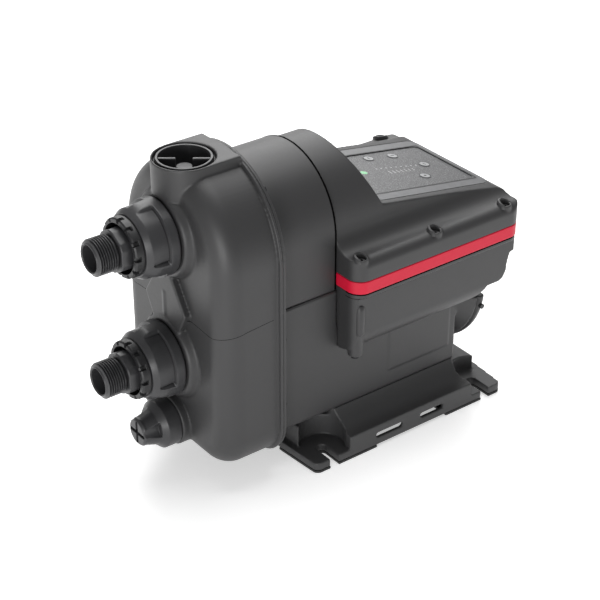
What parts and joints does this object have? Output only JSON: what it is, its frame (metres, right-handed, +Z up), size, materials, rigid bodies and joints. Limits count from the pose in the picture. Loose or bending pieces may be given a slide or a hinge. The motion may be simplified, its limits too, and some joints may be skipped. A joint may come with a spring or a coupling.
{
  "type": "shower booster pump",
  "caption": "Compact self-contained water booster pump: casing with two threaded ports, motor, control box with sloping key panel, slotted base.",
  "frame": {"origin": "middle of the footprint, on the floor", "axes": "+Z up, +X from the pipe stubs to the motor end along the shaft, +Y across"},
  "size_m": [0.403, 0.193, 0.302],
  "materials": {
    "charcoal_body": "fine grained satin moulding, dark charcoal",
    "charcoal_fitting": "satin glass-filled moulding",
    "near_black": "fine grained, near black",
    "red_trim": "soft sheen, bright red",
    "silver_grey": "smooth light silver grey",
    "key_grey": "smooth light grey",
    "keypad_grey": "fine speckle, dark grey",
    "green_light": "clear green lens",
    "seal_rubber": "smooth black rubber",
    "pad_rubber": "ribbed black rubber",
    "pale_plastic": "natural acetal",
    "stainless": "turned stainless steel",
    "screw_steel": "zinc plated",
    "spring_steel": "drawn wire",
    "seal_carbon": "lapped carbon",
    "seal_ceramic": "lapped ceramic",
    "laminations": "stacked sheet edges",
    "copper": "enamelled winding",
    "tank_steel": "drawn sheet",
    "board_green": "solder mask",
    "board_part": "moulded packages"
  },
  "bodies": {
    "pump": {"pump_housing": "charcoal_body", "outlet_stub_seal": "seal_rubber", "inlet_stub_seal": "seal_rubber", "outlet_valve_cage": "pale_plastic", "outlet_valve_spring": "spring_steel", "inlet_valve_cage": "pale_plastic", "inlet_valve_spring": "spring_steel", "suction_tube": "pale_plastic", "diffuser": "pale_plastic", "chamber_cover": "charcoal_body", "casing_seal": "seal_rubber", "body_screws": "screw_steel", "seal_seat": "seal_ceramic", "front_bearing": "stainless", "rear_bearing": "stainless", "stator": "laminations", "stator_windings": "copper", "pressure_tank": "tank_steel", "tank_diaphragm": "seal_rubber", "pressure_sensor": "near_black", "upper_shell": "charcoal_body", "motor_housing": "charcoal_body", "motor_end_cover": "charcoal_body", "base_screws": "screw_steel", "side_screw_caps": "near_black", "control_box": "charcoal_body", "box_screws": "screw_steel", "stripe_trim": "red_trim", "control_cover": "charcoal_body", "cover_screws": "near_black", "panel_frame": "silver_grey", "keypad": "keypad_grey", "status_light": "green_light", "circuit_board": "board_green", "board_parts": "board_part", "display_board": "board_green", "cable_gland": "near_black", "base_plate": "charcoal_body", "foot_pads": "pad_rubber"},
    "rotor_line": {"shaft": "stainless", "rotor": "laminations", "impeller": "stainless", "impeller_nut": "screw_steel", "seal_ring": "seal_carbon"},
    "outlet_pipe": {"outlet_stub": "charcoal_fitting"},
    "inlet_pipe": {"inlet_stub": "charcoal_fitting"},
    "outlet_ring": {"outlet_lock_ring": "near_black"},
    "outlet_nut": {"outlet_union_nut": "charcoal_fitting"},
    "inlet_ring": {"inlet_lock_ring": "near_black"},
    "inlet_nut": {"inlet_union_nut": "charcoal_fitting"},
    "priming_ring": {"priming_seal": "seal_rubber"},
    "priming_cap": {"priming_plug": "charcoal_fitting"},
    "drain_ring": {"drain_seal": "seal_rubber"},
    "drain_cap": {"drain_plug": "charcoal_fitting"},
    "outlet_poppet": {"outlet_valve_poppet": "charcoal_fitting"},
    "inlet_poppet": {"inlet_valve_poppet": "charcoal_fitting"},
    "power_key": {"key_power": "key_grey"},
    "raise_key": {"key_raise": "key_grey"},
    "lower_key": {"key_lower": "key_grey"},
    "reset_key": {"key_reset": "key_grey"}
  },
  "joints": [
    {"name": "rotor_spin", "type": "hinge", "parent": "pump", "child": "rotor_line", "pos_m": [0, 0, 0.115], "axis": [1, 0, 0], "continuous": true},
    {"name": "outlet_tilt", "type": "hinge", "parent": "pump", "child": "outlet_pipe", "pos_m": [-0.1435, 0, 0.236], "axis": [0, 1, 0], "range_deg": [-5, 5]},
    {"name": "outlet_nut_travel", "type": "slide", "parent": "pump", "child": "outlet_ring", "axis": [-1, 0, 0], "range_m": [0, 0.006]},
    {"name": "outlet_nut_turn", "type": "hinge", "parent": "outlet_ring", "child": "outlet_nut", "pos_m": [-0.145, 0, 0.236], "axis": [-1, 0, 0], "range_deg": [0, 720.5]},
    {"name": "inlet_tilt", "type": "hinge", "parent": "pump", "child": "inlet_pipe", "pos_m": [-0.1435, 0, 0.115], "axis": [0, 1, 0], "range_deg": [-5, 5]},
    {"name": "inlet_nut_travel", "type": "slide", "parent": "pump", "child": "inlet_ring", "axis": [-1, 0, 0], "range_m": [0, 0.006]},
    {"name": "inlet_nut_turn", "type": "hinge", "parent": "inlet_ring", "child": "inlet_nut", "pos_m": [-0.145, 0, 0.115], "axis": [-1, 0, 0], "range_deg": [0, 720.5]},
    {"name": "priming_travel", "type": "slide", "parent": "pump", "child": "priming_ring", "axis": [0, 0, 1], "range_m": [0, 0.009]},
    {"name": "priming_turn", "type": "hinge", "parent": "priming_ring", "child": "priming_cap", "pos_m": [-0.1046, 0, 0.29], "axis": [0, 0, 1], "range_deg": [0, 1080.5]},
    {"name": "drain_travel", "type": "slide", "parent": "pump", "child": "drain_ring", "axis": [-1, 0, 0], "range_m": [0, 0.009]},
    {"name": "drain_turn", "type": "hinge", "parent": "drain_ring", "child": "drain_cap", "pos_m": [-0.14, 0, 0.047], "axis": [-1, 0, 0], "range_deg": [0, 1080.5]},
    {"name": "outlet_valve_lift", "type": "slide", "parent": "pump", "child": "outlet_poppet", "axis": [-1, 0, 0], "range_m": [0, 0.005], "stiffness_N_per_m": 100, "springref_m": -0.01},
    {"name": "inlet_valve_lift", "type": "slide", "parent": "pump", "child": "inlet_poppet", "axis": [1, 0, 0], "range_m": [0, 0.005], "stiffness_N_per_m": 100, "springref_m": -0.01},
    {"name": "power_key_press", "type": "slide", "parent": "pump", "child": "power_key", "axis": [-0.1633, 0, -0.9866], "range_m": [0, 0.0005], "stiffness_N_per_m": 400, "springref_m": -0.002},
    {"name": "raise_key_press", "type": "slide", "parent": "pump", "child": "raise_key", "axis": [-0.1633, 0, -0.9866], "range_m": [0, 0.0005], "stiffness_N_per_m": 400, "springref_m": -0.002},
    {"name": "lower_key_press", "type": "slide", "parent": "pump", "child": "lower_key", "axis": [-0.1633, 0, -0.9866], "range_m": [0, 0.0005], "stiffness_N_per_m": 400, "springref_m": -0.002},
    {"name": "reset_key_press", "type": "slide", "parent": "pump", "child": "reset_key", "axis": [-0.1633, 0, -0.9866], "range_m": [0, 0.0005], "stiffness_N_per_m": 400, "springref_m": -0.002}
  ],
  "couplings": [
    {"joint": "outlet_nut_turn", "follows": "outlet_nut_travel", "rad_per_m": 2094.4},
    {"joint": "inlet_nut_turn", "follows": "inlet_nut_travel", "rad_per_m": 2094.4},
    {"joint": "priming_turn", "follows": "priming_travel", "rad_per_m": 2094.4},
    {"joint": "drain_turn", "follows": "drain_travel", "rad_per_m": 2094.4}
  ]
}
